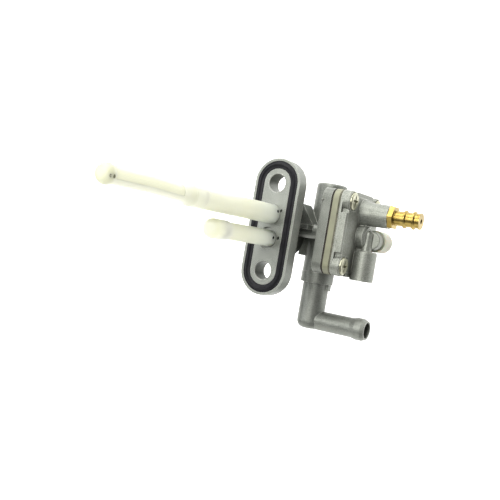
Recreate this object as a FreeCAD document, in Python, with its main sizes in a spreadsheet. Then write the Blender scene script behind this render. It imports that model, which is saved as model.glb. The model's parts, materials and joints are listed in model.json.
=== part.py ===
import FreeCAD, Part
import os
import re
from math import cos, radians, sin
import Sketcher

Vector = FreeCAD.Vector
Rotation = FreeCAD.Rotation
Placement = FreeCAD.Placement

# Vacuum operated fuel tap for a small tank, in millimetres.
# The origin is the centre of the flange face that meets the tank.
# +Z goes up into the tank along the standpipes, +X goes towards the vacuum
# nipple and the outlet, and +Y goes towards the closed end of the barrel.

doc = FreeCAD.newDocument("FuelTap")
sheet = doc.addObject("Spreadsheet::Sheet", "Sizes")

SIZES = [
    ("Flange", None),
    ("bolt_pitch", 34.0),
    ("bolt_hole_radius", 3.5),
    ("flange_end_radius", 9.6),
    ("flange_thickness", 6.0),
    ("bolt_boss_radius", 6.2),
    ("bolt_boss_height", 1.5),
    ("groove_inner_radius", 5.6),
    ("groove_width", 3.0),
    ("groove_depth", 2.2),
    ("seal_side_gap", 0.1),
    ("seal_stand", 0.7),
    ("seal_top_round", 0.9),
    ("Standpipes", None),
    ("pipe_x", -0.5),
    ("main_pipe_y", 4.9),
    ("reserve_pipe_y", -4.4),
    ("pipe_socket_depth", 5.0),
    ("main_pipe_radius", 3.75),
    ("main_pipe_bore", 2.7),
    ("main_pipe_length", 50.7),
    ("reserve_pipe_radius", 3.15),
    ("reserve_pipe_bore", 2.1),
    ("reserve_pipe_length", 36.0),
    ("reserve_recess_radius", 4.2),
    ("reserve_recess_depth", 1.2),
    ("passage_radius", 1.9),
    ("Strainers", None),
    ("spigot_length", 6.0),
    ("spigot_wall", 0.6),
    ("shoulder_length", 6.3),
    ("shoulder_slope", 2.4),
    ("cage_radius", 3.0),
    ("cage_wall", 0.75),
    ("window_length", 34.4),
    ("window_width", 2.7),
    ("cage_cap_radius", 3.45),
    ("cage_cap_length", 8.2),
    ("cage_cap_round", 2.2),
    ("mesh_thickness", 0.25),
    ("reserve_cap_radius", 3.55),
    ("reserve_cap_length", 9.9),
    ("reserve_cap_overlap", 4.3),
    ("reserve_cap_round", 2.0),
    ("reserve_slot_width", 1.2),
    ("reserve_slot_length", 2.8),
    ("Selector", None),
    ("selector_y", 1.2),
    ("selector_z", -17.5),
    ("drum_radius", 11.0),
    ("drum_back_x", 1.8),
    ("drum_face_x", -10.5),
    ("neck_half_height", 8.0),
    ("neck_setback", 1.5),
    ("rotor_bore_radius", 7.5),
    ("rotor_bore_depth", 8.5),
    ("port_radius", 1.2),
    ("port_seal_thickness", 2.0),
    ("port_circle_radius", 4.9),
    ("main_port_angle", 36.0),
    ("reserve_port_angle", -62.0),
    ("outlet_port_drop", 5.0),
    ("rotor_thickness", 5.2),
    ("rotor_gap", 0.1),
    ("rotor_face_gap", 0.1),
    ("kidney_depth", 1.2),
    ("kidney_angle", 130.0),
    ("ring_section", 1.3),
    ("ring_side_gap", 0.1),
    ("shaft_radius", 2.75),
    ("shaft_gap", 0.08),
    ("shaft_flat", 1.9),
    ("washer_sheet", 0.4),
    ("washer_gap", 0.1),
    ("washer_inner_radius", 3.6),
    ("washer_clearance", 0.7),
    ("retainer_thickness", 1.8),
    ("retainer_ear_reach", 8.0),
    ("retainer_ear_radius", 3.3),
    ("retainer_screw_radius", 1.5),
    ("retainer_screw_head", 2.8),
    ("retainer_screw_length", 6.0),
    ("lever_gap", 0.4),
    ("lever_thickness", 3.2),
    ("lever_hub_radius", 5.6),
    ("lever_reach", 25.0),
    ("lever_tip_radius", 3.4),
    ("lever_screw_radius", 1.25),
    ("lever_screw_length", 6.0),
    ("lever_screw_head", 2.6),
    ("lever_screw_head_height", 1.6),
    ("Barrel and outlet", None),
    ("barrel_x", 8.6),
    ("barrel_z", -32.0),
    ("barrel_top_radius", 6.3),
    ("barrel_bottom_radius", 6.6),
    ("barrel_top_y", 21.8),
    ("barrel_top_round", 1.2),
    ("barrel_bottom_y", -19.4),
    ("barrel_bore_radius", 3.0),
    ("barrel_bore_top_y", 7.0),
    ("collar_radius", 6.7),
    ("collar_height", 4.4),
    ("bridge_top_y", 3.4),
    ("bridge_bottom_y", -9.0),
    ("bridge_near_z", -28.0),
    ("bridge_far_z", -37.0),
    ("fuel_tube_radius", 3.0),
    ("web_thickness", 1.8),
    ("web_near_z", -15.0),
    ("gusset_height", 8.3),
    ("gusset_near_z", -20.0),
    ("gusset_top_reach", 0.6),
    ("elbow_leg_radius", 5.4),
    ("elbow_spigot_radius", 4.6),
    ("elbow_spigot_length", 5.0),
    ("elbow_bottom_y", -38.4),
    ("elbow_bottom_round", 3.0),
    ("outlet_y", -34.45),
    ("outlet_radius", 4.0),
    ("outlet_end_x", 33.8),
    ("outlet_bore_radius", 3.2),
    ("outlet_bead_radius", 4.5),
    ("outlet_bead_length", 2.6),
    ("outlet_bead_slope", 2.2),
    ("outlet_lip_length", 1.6),
    ("outlet_lip_radius", 3.8),
    ("nib_width", 2.4),
    ("nib_height", 2.6),
    ("nib_stand", 0.9),
    ("Vacuum unit", None),
    ("stack_y", 2.35),
    ("screw_pitch", 25.6),
    ("corner_radius", 4.2),
    ("plate_back_x", 12.7),
    ("plate_thickness", 3.9),
    ("diaphragm_thickness", 0.8),
    ("spacer_thickness", 2.4),
    ("cover_rim_thickness", 0.9),
    ("cover_wall_height", 3.5),
    ("cover_inset", 1.7),
    ("screw_boss_drop", 0.5),
    ("cover_top_thickness", 1.1),
    ("chamber_radius", 12.0),
    ("fuel_chamber_depth", 1.3),
    ("seat_hole_radius", 2.0),
    ("screw_radius", 2.0),
    ("screw_clear", 0.15),
    ("screw_head_radius", 3.5),
    ("screw_head_height", 1.6),
    ("screw_head_round", 0.7),
    ("screw_cross_reach", 2.1),
    ("screw_cross_width", 0.9),
    ("screw_cross_depth", 1.0),
    ("screw_length", 9.6),
    ("dome_radius", 5.0),
    ("dome_height", 2.9),
    ("dome_step_radius", 3.8),
    ("dome_rim", 0.4),
    ("dome_step_height", 0.8),
    ("spring_room_radius", 3.9),
    ("spring_room_depth", 2.6),
    ("Plunger", None),
    ("stem_radius", 1.3),
    ("stem_tail_length", 1.4),
    ("valve_disc_radius", 3.5),
    ("valve_seal_thickness", 0.6),
    ("valve_seal_radius", 3.3),
    ("support_disc_radius", 8.0),
    ("support_disc_thickness", 0.6),
    ("spool_radius", 2.2),
    ("rivet_head_radius", 2.0),
    ("rivet_head_height", 0.7),
    ("spring_radius", 3.1),
    ("spring_wire_radius", 0.3),
    ("spring_turns", 4.0),
    ("Bosses on the cover", None),
    ("nipple_y", 11.7),
    ("nipple_boss_radius", 4.7),
    ("nipple_boss_foot_radius", 5.7),
    ("nipple_boss_foot_length", 4.0),
    ("nipple_boss_end_x", 35.6),
    ("nipple_thread_radius", 2.5),
    ("nipple_thread_length", 7.0),
    ("nipple_flats", 8.5),
    ("nipple_hex_height", 2.1),
    ("nipple_body_radius", 2.95),
    ("nipple_barb_radius", 3.6),
    ("nipple_barb_land", 0.5),
    ("nipple_barb_slope", 0.5),
    ("nipple_first_barb", 4.0),
    ("nipple_second_barb", 7.6),
    ("nipple_length", 10.6),
    ("nipple_lip_radius", 3.3),
    ("nipple_bore_radius", 1.0),
    ("lower_boss_x", 27.7),
    ("lower_boss_radius", 4.75),
    ("lower_boss_top_y", -3.25),
    ("lower_boss_bottom_y", -15.4),
    ("lower_boss_round", 0.9),
    ("rib_radius", 2.1),
    ("rib_top_y", 5.4),
    ("stub_x", 29.0),
    ("stub_y", 1.4),
    ("stub_radius", 3.7),
    ("stub_face_z", -32.4),
    ("stub_length", 4.5),
    ("stub_round", 0.5),
    ("stub_neck_radius", 3.0),
    ("stub_neck_length", 0.2),
    ("stub_pin_radius", 2.4),
    ("stub_pin_length", 7.0),
    ("cap_radius", 4.45),
    ("cap_length", 9.5),
    ("cap_round", 1.6),
]

VALUES = {}
for row, (word, number) in enumerate(SIZES, start=1):
    sheet.set("A%d" % row, word)
    if number is None:
        continue
    sheet.set("B%d" % row, repr(number))
    sheet.setAlias("B%d" % row, word)
    VALUES[word] = number
doc.recompute()


def formula(text):
    """Put the sheet's name before each of its aliases."""
    return re.sub(r"[a-z]+(?:_[a-z]+)+", lambda found: "Sizes." + found.group(0), text)


TURNS = {
    "+X": Rotation(Vector(0, 1, 0), 90),
    "-X": Rotation(Vector(0, 1, 0), -90),
    "+Y": Rotation(Vector(1, 0, 0), -90),
    "-Y": Rotation(Vector(1, 0, 0), 90),
    "+Z": Rotation(),
    "-Z": Rotation(Vector(1, 0, 0), 180),
}


def place(piece, at, along="+Z"):
    piece.Placement = Placement(Vector(0, 0, 0), TURNS[along])
    for letter, text in zip("xyz", at):
        piece.setExpression("Placement.Base." + letter, formula(text))
    return piece


def primitive(kind, name, at, along="+Z", **sizes):
    piece = doc.addObject("Part::" + kind, name)
    for prop, text in sizes.items():
        piece.setExpression(prop, formula(text))
    return place(piece, at, along)


def cylinder(name, radius, length, at, along="+Z"):
    return primitive("Cylinder", name, at, along, Radius=radius, Height=length)


def cone(name, first, second, length, at, along="+Z"):
    return primitive("Cone", name, at, along, Radius1=first, Radius2=second, Height=length)


def box(name, corner, length, width, height):
    return primitive("Box", name, corner, Length=length, Width=width, Height=height)


def join(name, pieces):
    whole = doc.addObject("Part::MultiFuse", name)
    whole.Shapes = pieces
    whole.Refine = True
    return whole


def cut(name, base, tools):
    taken = tools[0] if len(tools) == 1 else join(name + "Tools", tools)
    rest = doc.addObject("Part::Cut", name)
    rest.Base = base
    rest.Tool = taken
    rest.Refine = True
    return rest


def fillet(name, base, radius, wanted):
    """Round the edges of base that the test picks, by a radius from the sheet."""
    doc.recompute()
    size = sheet.get(radius)
    numbers = [i for i, edge in enumerate(base.Shape.Edges, start=1) if wanted(edge)]
    rounded = doc.addObject("Part::Fillet", name)
    rounded.Base = base
    rounded.Edges = [(i, size, size) for i in numbers]
    return rounded


def turned(name, points, at, along="+Z"):
    """A body of revolution about its own Z, from (radius, height) formulas."""
    body = doc.addObject("PartDesign::Body", name)
    sketch = body.newObject("Sketcher::SketchObject", name + "Profile")
    planes = {plane.Role: plane for plane in body.Origin.OriginFeatures}
    sketch.AttachmentSupport = [(planes["XZ_Plane"], "")]
    sketch.MapMode = "FlatFace"
    corners = [Vector(value_of(radius), value_of(height), 0) for radius, height in points]
    count = len(corners)
    for i in range(count):
        sketch.addGeometry(Part.LineSegment(corners[i], corners[(i + 1) % count]), False)
    for i in range(count):
        sketch.addConstraint(Sketcher.Constraint("Coincident", i, 2, (i + 1) % count, 1))
    for i, (radius, height) in enumerate(points):
        if radius == "0":
            sketch.addConstraint(Sketcher.Constraint("PointOnObject", i, 1, -2))
        else:
            bind_distance(sketch, "DistanceX", i, corners[i].x, radius)
        if height == "0":
            sketch.addConstraint(Sketcher.Constraint("PointOnObject", i, 1, -1))
        else:
            bind_distance(sketch, "DistanceY", i, corners[i].y, height)
    spin = body.newObject("PartDesign::Revolution", name + "Turned")
    spin.Profile = sketch
    spin.ReferenceAxis = (sketch, ["V_Axis"])
    spin.Angle = 360
    sketch.Visibility = False
    return place(body, at, along)


def bind_distance(sketch, kind, corner, value, text):
    index = sketch.addConstraint(Sketcher.Constraint(kind, -1, 1, corner, 1, value))
    sketch.setExpression("Constraints[%d]" % index, formula(text))


def value_of(text):
    """The number that a formula of aliases gives now."""
    found = sheet.evalExpression(formula(text))
    return float(getattr(found, "Value", found))


def obround(name, end_radius, pitch, height, at):
    """A slot-shaped plate along Y, with its lower face at the given height."""
    x, y, z = at
    half = "%s - (%s) / 2" % (y, pitch)
    far = "%s + (%s) / 2" % (y, pitch)
    middle = box(name + "Middle", ("%s - (%s)" % (x, end_radius), half, z),
                 "2 * (%s)" % end_radius, pitch, height)
    low = cylinder(name + "Low", end_radius, height, (x, half, z))
    high = cylinder(name + "High", end_radius, height, (x, far, z))
    return join(name, [middle, low, high])


def stack_points():
    """The four screw axes of the vacuum unit, as formulas for Y and Z."""
    return [("stack_y %s screw_pitch / 2" % up, "barrel_z %s screw_pitch / 2" % out)
            for up in "+-" for out in "+-"]


def stack_plate(name, start, height, inset="0"):
    """A plate with the outline of the vacuum unit: four round corners and the sides between."""
    corners = [cylinder(name + "Corner%d" % i, "corner_radius", height, (start, y, z), "+X")
               for i, (y, z) in enumerate(stack_points())]
    tall = box(name + "Tall",
               (start, "stack_y - screw_pitch / 2 - corner_radius + (%s)" % inset,
                "barrel_z - screw_pitch / 2"),
               height, "screw_pitch + 2 * corner_radius - 2 * (%s)" % inset, "screw_pitch")
    wide = box(name + "Wide",
               (start, "stack_y - screw_pitch / 2",
                "barrel_z - screw_pitch / 2 - corner_radius + (%s)" % inset),
               height, "screw_pitch", "screw_pitch + 2 * corner_radius - 2 * (%s)" % inset)
    return join(name, corners + [tall, wide])


def screw_holes(name, radius, start, length):
    return [cylinder(name + str(i), radius, length, (start, y, z), "+X")
            for i, (y, z) in enumerate(stack_points())]


INNER_DIAPHRAGM = "plate_back_x + plate_thickness"
SPACER = INNER_DIAPHRAGM + " + diaphragm_thickness"
OUTER_DIAPHRAGM = SPACER + " + spacer_thickness"
COVER = OUTER_DIAPHRAGM + " + diaphragm_thickness"
COVER_FACE = COVER + " + cover_wall_height"
STACK_AXIS = ("stack_y", "barrel_z")
GROOVE_OUTER = "groove_inner_radius + groove_width"
RETAINER_FACE = "drum_face_x - retainer_thickness"
ROTOR_FLOOR = "drum_face_x + rotor_bore_depth"
ROTOR_FRONT = ROTOR_FLOOR + " - port_seal_thickness - rotor_face_gap"
ROTOR_RADIUS = "rotor_bore_radius - rotor_gap"
SELECTOR_AXIS = ("selector_y", "selector_z")
LEVER_BACK = RETAINER_FACE + " - lever_gap"
LEVER_FACE = LEVER_BACK + " - lever_thickness"
TOUCH = 0.01
PARTS = []


def finish(piece, label):
    """Name a finished piece; its label names its file."""
    piece.Label = label
    PARTS.append(piece)
    return piece


# The die-cast body: flange, selector drum, bridge, barrel and the plate of the vacuum unit

def is_circle(edge):
    return isinstance(edge.Curve, Part.Circle)


def ear_points(start):
    """The two screw axes of the selector's retainer, one each side of the shaft."""
    return [(start, "selector_y + retainer_ear_reach", "selector_z - retainer_ear_reach"),
            (start, "selector_y - retainer_ear_reach", "selector_z + retainer_ear_reach")]


def valve_body():
    flange = obround("Flange", "flange_end_radius", "bolt_pitch", "flange_thickness",
                     ("0", "0", "-flange_thickness"))
    neck = box("Neck", ("drum_face_x + neck_setback", "selector_y - neck_half_height", "selector_z"),
               "drum_back_x - drum_face_x - neck_setback", "2 * neck_half_height",
               "-selector_z - flange_thickness")
    drum = cylinder("Drum", "drum_radius", "drum_back_x - drum_face_x",
                    ("drum_face_x", "selector_y", "selector_z"), "+X")
    ears = [cylinder("Ear%d" % i, "retainer_ear_radius", "rotor_bore_depth", at, "+X")
            for i, at in enumerate(ear_points("drum_face_x"))]
    bridge = box("Bridge", ("0", "bridge_bottom_y", "bridge_far_z"), "plate_back_x",
                 "bridge_top_y - bridge_bottom_y", "bridge_near_z - bridge_far_z")
    fuel_tube = cylinder("FuelTube", "fuel_tube_radius", "plate_back_x",
                         ("0", "selector_y", "selector_z - outlet_port_drop"), "+X")
    web = box("Web", ("0", "bridge_top_y - web_thickness", "bridge_far_z"), "barrel_x",
              "web_thickness", "web_near_z - bridge_far_z")
    gusset = primitive("Wedge", "Gusset", ("drum_back_x", "bridge_top_y", "bridge_near_z"),
                       Xmin="-web_thickness", Xmax="barrel_x - drum_back_x",
                       X2min="-web_thickness", X2max="gusset_top_reach",
                       Ymin="0", Ymax="gusset_height",
                       Zmin="0", Zmax="gusset_near_z - bridge_near_z",
                       Z2min="0", Z2max="gusset_near_z - bridge_near_z")
    bolt_bosses = [cylinder("BoltBoss%d" % i, "bolt_boss_radius", "bolt_boss_height",
                            ("0", side + "bolt_pitch / 2", "-flange_thickness"), "-Z")
                   for i, side in enumerate("+-")]
    barrel = cone("Barrel", "barrel_bottom_radius", "barrel_top_radius",
                  "barrel_top_y - barrel_bottom_y", ("barrel_x", "barrel_bottom_y", "barrel_z"), "+Y")
    barrel_top = fillet("BarrelRounded", barrel, "barrel_top_round",
                        lambda edge: is_circle(edge) and edge.Curve.Center.y > 0)
    collar = cylinder("Collar", "collar_radius", "collar_height",
                      ("barrel_x", "barrel_bottom_y", "barrel_z"), "+Y")
    plate = stack_plate("BodyPlate", "plate_back_x", "plate_thickness")
    solid = join("BodySolid", [flange, neck, drum, bridge, fuel_tube, web, gusset, barrel_top,
                               collar, plate] + ears + bolt_bosses)

    groove_outer = obround("GrooveOuter", GROOVE_OUTER, "bolt_pitch", "groove_depth",
                           ("0", "0", "-groove_depth"))
    groove_inner = obround("GrooveInner", "groove_inner_radius", "bolt_pitch", "groove_depth",
                           ("0", "0", "-groove_depth"))
    groove = cut("Groove", groove_outer, [groove_inner])
    tools = [groove]
    for i, side in enumerate("+-"):
        tools.append(cylinder("BoltHole%d" % i, "bolt_hole_radius", "3 * flange_thickness",
                              ("0", side + "bolt_pitch / 2", "-2 * flange_thickness")))
    tools.append(cylinder("MainSocket", "main_pipe_radius", "pipe_socket_depth",
                          ("pipe_x", "main_pipe_y", "-pipe_socket_depth")))
    tools.append(cylinder("ReserveSocket", "reserve_pipe_radius", "pipe_socket_depth",
                          ("pipe_x", "reserve_pipe_y", "-pipe_socket_depth")))
    tools.append(cylinder("ReserveRecess", "reserve_recess_radius", "reserve_recess_depth",
                          ("pipe_x", "reserve_pipe_y", "-reserve_recess_depth")))
    for name, y, angle in (("Main", "main_pipe_y", "main_port_angle"),
                           ("Reserve", "reserve_pipe_y", "reserve_port_angle")):
        port_z = "selector_z + port_circle_radius * cos(%s)" % angle
        tools.append(cylinder(name + "Drilling", "passage_radius", "-(%s)" % port_z,
                              ("pipe_x", y, port_z)))
        tools.append(cylinder(name + "Port", "port_radius", "pipe_x - (%s)" % ROTOR_FLOOR,
                              (ROTOR_FLOOR, "selector_y + port_circle_radius * sin(%s)" % angle,
                               port_z), "+X"))
    tools.append(cylinder("RotorBore", "rotor_bore_radius", "rotor_bore_depth",
                          ("drum_face_x", "selector_y", "selector_z"), "+X"))
    tools.append(cylinder("FuelWay", "port_radius", INNER_DIAPHRAGM + " - (%s)" % ROTOR_FLOOR,
                          (ROTOR_FLOOR, "selector_y", "selector_z - outlet_port_drop"), "+X"))
    tools.append(cylinder("FuelChamber", "chamber_radius", "2 * fuel_chamber_depth",
                          (INNER_DIAPHRAGM + " - fuel_chamber_depth",) + STACK_AXIS, "+X"))
    tools.append(cylinder("SeatHole", "seat_hole_radius",
                          INNER_DIAPHRAGM + " - barrel_x", ("barrel_x",) + STACK_AXIS, "+X"))
    tools.append(cylinder("BarrelBore", "barrel_bore_radius",
                          "barrel_bore_top_y - barrel_bottom_y",
                          ("barrel_x", "barrel_bottom_y", "barrel_z"), "+Y"))
    tools.append(cylinder("SpigotBore", "elbow_spigot_radius", "elbow_spigot_length",
                          ("barrel_x", "barrel_bottom_y", "barrel_z"), "+Y"))
    tools.append(box("PlateFaceTrim",
                     (INNER_DIAPHRAGM, "barrel_bottom_y", "barrel_z - collar_radius"),
                     "collar_radius", "barrel_top_y - barrel_bottom_y", "2 * collar_radius"))
    screw_end = COVER_FACE + " - screw_boss_drop - screw_length"
    tools += screw_holes("BodyScrewHole", "screw_radius", screw_end,
                         INNER_DIAPHRAGM + " - (%s)" % screw_end)
    tools += [cylinder("EarHole%d" % i, "retainer_screw_radius", "retainer_screw_length", at, "+X")
              for i, at in enumerate(ear_points("drum_face_x"))]
    return finish(cut("Body", solid, tools), "valve_body")


def flange_seal():
    height = "groove_depth + seal_stand"
    outer = obround("SealOuter", GROOVE_OUTER + " - seal_side_gap", "bolt_pitch", height,
                    ("0", "0", "-groove_depth"))
    inner = obround("SealInner", "groove_inner_radius + seal_side_gap", "bolt_pitch", height,
                    ("0", "0", "-groove_depth"))
    ring = cut("SealRing", outer, [inner])
    rounded = fillet("SealRounded", ring, "seal_top_round",
                     lambda edge: edge.BoundBox.ZMin > value_of("seal_stand") - TOUCH)
    return finish(rounded, "flange_seal")


# Standpipes and strainers

def standpipes():
    for name, y in (("Main", "main_pipe_y"), ("Reserve", "reserve_pipe_y")):
        word = name.lower() + "_pipe_"
        length = word + "length + pipe_socket_depth"
        start = ("pipe_x", y, "-pipe_socket_depth")
        wall = cylinder(name + "Pipe", word + "radius", length, start)
        bore = cylinder(name + "PipeBore", word + "bore", length, start)
        finish(cut(name + "Standpipe", wall, [bore]), name.lower() + "_standpipe")


def main_strainer():
    bore = "cage_radius - cage_wall"
    window_start = "shoulder_length + shoulder_slope"
    cap = window_start + " + window_length"
    points = [(bore, "-spigot_length"), ("main_pipe_bore", "-spigot_length"),
              ("main_pipe_bore", "0"), ("main_pipe_radius", "0"),
              ("main_pipe_radius", "shoulder_length"), ("cage_radius", window_start),
              ("cage_radius", cap), ("cage_cap_radius", cap + " + cage_wall"),
              ("cage_cap_radius", cap + " + cage_cap_length"), ("0", cap + " + cage_cap_length"),
              ("0", cap + " + 2 * cage_wall"), (bore, cap + " + 2 * cage_wall")]
    cage = turned("StrainerCage", points, ("pipe_x", "main_pipe_y", "main_pipe_length"))
    windows = box("StrainerWindows",
                  ("pipe_x - 2 * cage_radius", "main_pipe_y - window_width / 2",
                   "main_pipe_length + " + window_start),
                  "4 * cage_radius", "window_width", "window_length")
    open_cage = cut("StrainerOpen", cage, [windows])
    top = value_of("main_pipe_length + " + cap + " + cage_cap_length")
    domed = fillet("StrainerDomed", open_cage, "cage_cap_round",
                   lambda edge: is_circle(edge) and abs(edge.Curve.Center.z - top) < TOUCH)
    finish(domed, "main_strainer_cage")
    gauze = cylinder("Gauze", bore, cap, ("pipe_x", "main_pipe_y", "main_pipe_length"))
    hollow = cylinder("GauzeHollow", bore + " - mesh_thickness", cap,
                      ("pipe_x", "main_pipe_y", "main_pipe_length"))
    finish(cut("GauzeTube", gauze, [hollow]), "main_strainer_mesh")


def reserve_strainer():
    start = "reserve_pipe_length - reserve_cap_overlap"
    at = ("pipe_x", "reserve_pipe_y", start)
    points = [("reserve_pipe_radius", "0"), ("reserve_cap_radius", "0"),
              ("reserve_cap_radius", "reserve_cap_length"), ("0", "reserve_cap_length"),
              ("0", "reserve_cap_length - cage_wall"),
              ("reserve_pipe_bore", "reserve_cap_length - cage_wall"),
              ("reserve_pipe_bore", "reserve_cap_overlap"),
              ("reserve_pipe_radius", "reserve_cap_overlap")]
    cap = turned("ReserveCap", points, at)
    slot = box("ReserveSlot",
               ("pipe_x - 2 * reserve_cap_radius", "reserve_pipe_y - reserve_slot_width / 2",
                "reserve_pipe_length + reserve_slot_width / 4"),
               "2 * reserve_cap_radius", "reserve_slot_width", "reserve_slot_length")
    slotted = cut("ReserveSlotted", cap, [slot])
    top = value_of(start + " + reserve_cap_length")
    domed = fillet("ReserveDomed", slotted, "reserve_cap_round",
                   lambda edge: is_circle(edge) and abs(edge.Curve.Center.z - top) < TOUCH)
    finish(domed, "reserve_strainer_cap")


# Outlet elbow, pressed into the collar

def outlet_elbow():
    leg = cylinder("ElbowLeg", "elbow_leg_radius", "barrel_bottom_y - elbow_bottom_y",
                   ("barrel_x", "elbow_bottom_y", "barrel_z"), "+Y")
    rounded = fillet("ElbowLegRounded", leg, "elbow_bottom_round",
                     lambda edge: is_circle(edge) and
                     abs(edge.Curve.Center.y - value_of("elbow_bottom_y")) < TOUCH)
    spigot = cylinder("ElbowSpigot", "elbow_spigot_radius", "elbow_spigot_length",
                      ("barrel_x", "barrel_bottom_y", "barrel_z"), "+Y")
    reach = "outlet_end_x - barrel_x"
    points = [("0", "0"), ("outlet_radius", "0"),
              ("outlet_radius", reach + " - outlet_lip_length - outlet_bead_length"
                                        " - outlet_bead_slope"),
              ("outlet_bead_radius", reach + " - outlet_lip_length - outlet_bead_length"),
              ("outlet_bead_radius", reach + " - outlet_lip_length"),
              ("outlet_lip_radius", reach), ("0", reach)]
    tail = turned("ElbowTail", points, ("barrel_x", "outlet_y", "barrel_z"), "+X")
    nib = box("ElbowNib", ("barrel_x", "barrel_bottom_y - nib_height",
                           "barrel_z - nib_width / 2"),
              "elbow_leg_radius + nib_stand", "nib_height", "nib_width")
    solid = join("ElbowSolid", [rounded, spigot, tail, nib])
    down = cylinder("ElbowDownBore", "outlet_bore_radius",
                    "barrel_bottom_y + elbow_spigot_length - outlet_y",
                    ("barrel_x", "outlet_y", "barrel_z"), "+Y")
    out = cylinder("ElbowOutBore", "outlet_bore_radius", reach,
                   ("barrel_x", "outlet_y", "barrel_z"), "+X")
    bend = primitive("Sphere", "ElbowBend", ("barrel_x", "outlet_y", "barrel_z"),
                     Radius="outlet_bore_radius")
    finish(cut("Elbow", solid, [down, out, bend]), "outlet_elbow")


# Diaphragms, spacer and cover of the vacuum unit

def flat_layer(name, start, height, hole, label):
    plate = stack_plate(name, start, height)
    centre = cylinder(name + "Centre", hole, height, (start,) + STACK_AXIS, "+X")
    holes = screw_holes(name + "Hole", "screw_radius + screw_clear", start, height)
    finish(cut(name + "Cut", plate, [centre] + holes), label)


def raised_face(name):
    """The raised middle of the cover, clear of the four screw heads."""
    start = COVER + " + cover_wall_height - 2 * screw_boss_drop"
    side = "screw_pitch / 2 + corner_radius - cover_inset"
    end = "screw_pitch / 2 + corner_radius - cover_inset"
    clear = "screw_head_radius + screw_clear"
    tall = box(name + "Tall",
               (start, "stack_y - (%s)" % end, "barrel_z - screw_pitch / 2 + %s" % clear),
               "2 * screw_boss_drop", "2 * (%s)" % end, "screw_pitch - 2 * (%s)" % clear)
    wide = box(name + "Wide",
               (start, "stack_y - screw_pitch / 2 + %s" % clear, "barrel_z - (%s)" % side),
               "2 * screw_boss_drop", "screw_pitch - 2 * (%s)" % clear, "2 * (%s)" % side)
    return join(name, [tall, wide])


def vacuum_cover():
    rim = stack_plate("CoverRim", COVER, "cover_rim_thickness")
    base = stack_plate("CoverBase", COVER, "cover_wall_height - screw_boss_drop", "cover_inset")
    face = raised_face("CoverTop")
    axis_z = "barrel_z"
    dome = cylinder("CoverDome", "dome_radius", "dome_height",
                    (COVER_FACE,) + STACK_AXIS, "+X")
    step = cone("CoverDomeStep", "dome_radius - dome_rim", "dome_step_radius", "dome_step_height",
                (COVER_FACE + " + dome_height",) + STACK_AXIS, "+X")
    foot = cone("NippleBossFoot", "nipple_boss_foot_radius", "nipple_boss_radius",
                "nipple_boss_foot_length", (COVER_FACE, "nipple_y", axis_z), "+X")
    boss = cylinder("NippleBoss", "nipple_boss_radius", "nipple_boss_end_x - (%s)" % COVER_FACE,
                    (COVER_FACE, "nipple_y", axis_z), "+X")
    lower = cylinder("LowerBoss", "lower_boss_radius", "lower_boss_top_y - lower_boss_bottom_y",
                     ("lower_boss_x", "lower_boss_bottom_y", axis_z), "+Y")
    rib = cylinder("Rib", "rib_radius", "rib_top_y - rib_radius - lower_boss_top_y",
                   ("lower_boss_x", "lower_boss_top_y", axis_z), "+Y")
    rib_top = primitive("Sphere", "RibTop", ("lower_boss_x", "rib_top_y - rib_radius", axis_z),
                        Radius="rib_radius")
    rib_web = box("RibWeb", (COVER_FACE, "lower_boss_top_y", "barrel_z - rib_radius / 2"),
                  "lower_boss_x - (%s)" % COVER_FACE, "rib_top_y - rib_radius - lower_boss_top_y",
                  "rib_radius")
    stub = cylinder("Stub", "stub_radius", "stub_length", ("stub_x", "stub_y", "stub_face_z"),
                    "-Z")
    neck = cylinder("StubNeck", "stub_neck_radius", "stub_length + stub_neck_length",
                    ("stub_x", "stub_y", "stub_face_z"), "-Z")
    pin = cylinder("StubPin", "stub_pin_radius",
                   "stub_length + stub_neck_length + stub_pin_length",
                   ("stub_x", "stub_y", "stub_face_z"), "-Z")
    lower_rounded = fillet("LowerBossRounded", lower, "lower_boss_round",
                           lambda edge: is_circle(edge) and
                           edge.Curve.Center.y > value_of("lower_boss_top_y") - TOUCH)
    stub_rounded = fillet("StubRounded", stub, "stub_round",
                          lambda edge: is_circle(edge) and
                          edge.Curve.Center.z > value_of("stub_face_z") - TOUCH)
    solid = join("CoverSolid", [rim, base, face, dome, step, foot, boss, lower_rounded, rib,
                                rib_top, rib_web, stub_rounded, neck, pin])
    chamber = cylinder("CoverChamber", "chamber_radius",
                       "cover_wall_height - cover_top_thickness", (COVER,) + STACK_AXIS, "+X")
    spring_room = cylinder("SpringRoom", "spring_room_radius",
                           "cover_wall_height - cover_top_thickness + spring_room_depth",
                           (COVER,) + STACK_AXIS, "+X")
    thread = cylinder("NippleThread", "nipple_thread_radius", "nipple_thread_length",
                      ("nipple_boss_end_x", "nipple_y", axis_z), "-X")
    vacuum_way = cylinder("VacuumWay", "nipple_bore_radius", "nipple_boss_end_x - (%s)" % COVER,
                          ("nipple_boss_end_x", "nipple_y - nipple_bore_radius", axis_z), "-X")
    holes = screw_holes("CoverHole", "screw_radius + screw_clear", COVER, "cover_wall_height")
    finish(cut("Cover", solid, [chamber, spring_room, thread, vacuum_way] + holes),
           "vacuum_cover")


def cross_recess(name, reach, width, depth, at, along):
    """The two crossed slots of a cross-head screw, sunk from the face of its head."""
    x, y, z = at
    start = "%s - (%s)" % (x, depth) if along == "-X" else x
    long_y = box(name + "A", (start, "%s - (%s)" % (y, reach), "%s - (%s) / 2" % (z, width)),
                 depth, "2 * (%s)" % reach, width)
    long_z = box(name + "B", (start, "%s - (%s) / 2" % (y, width), "%s - (%s)" % (z, reach)),
                 depth, width, "2 * (%s)" % reach)
    return [long_y, long_z]


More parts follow.
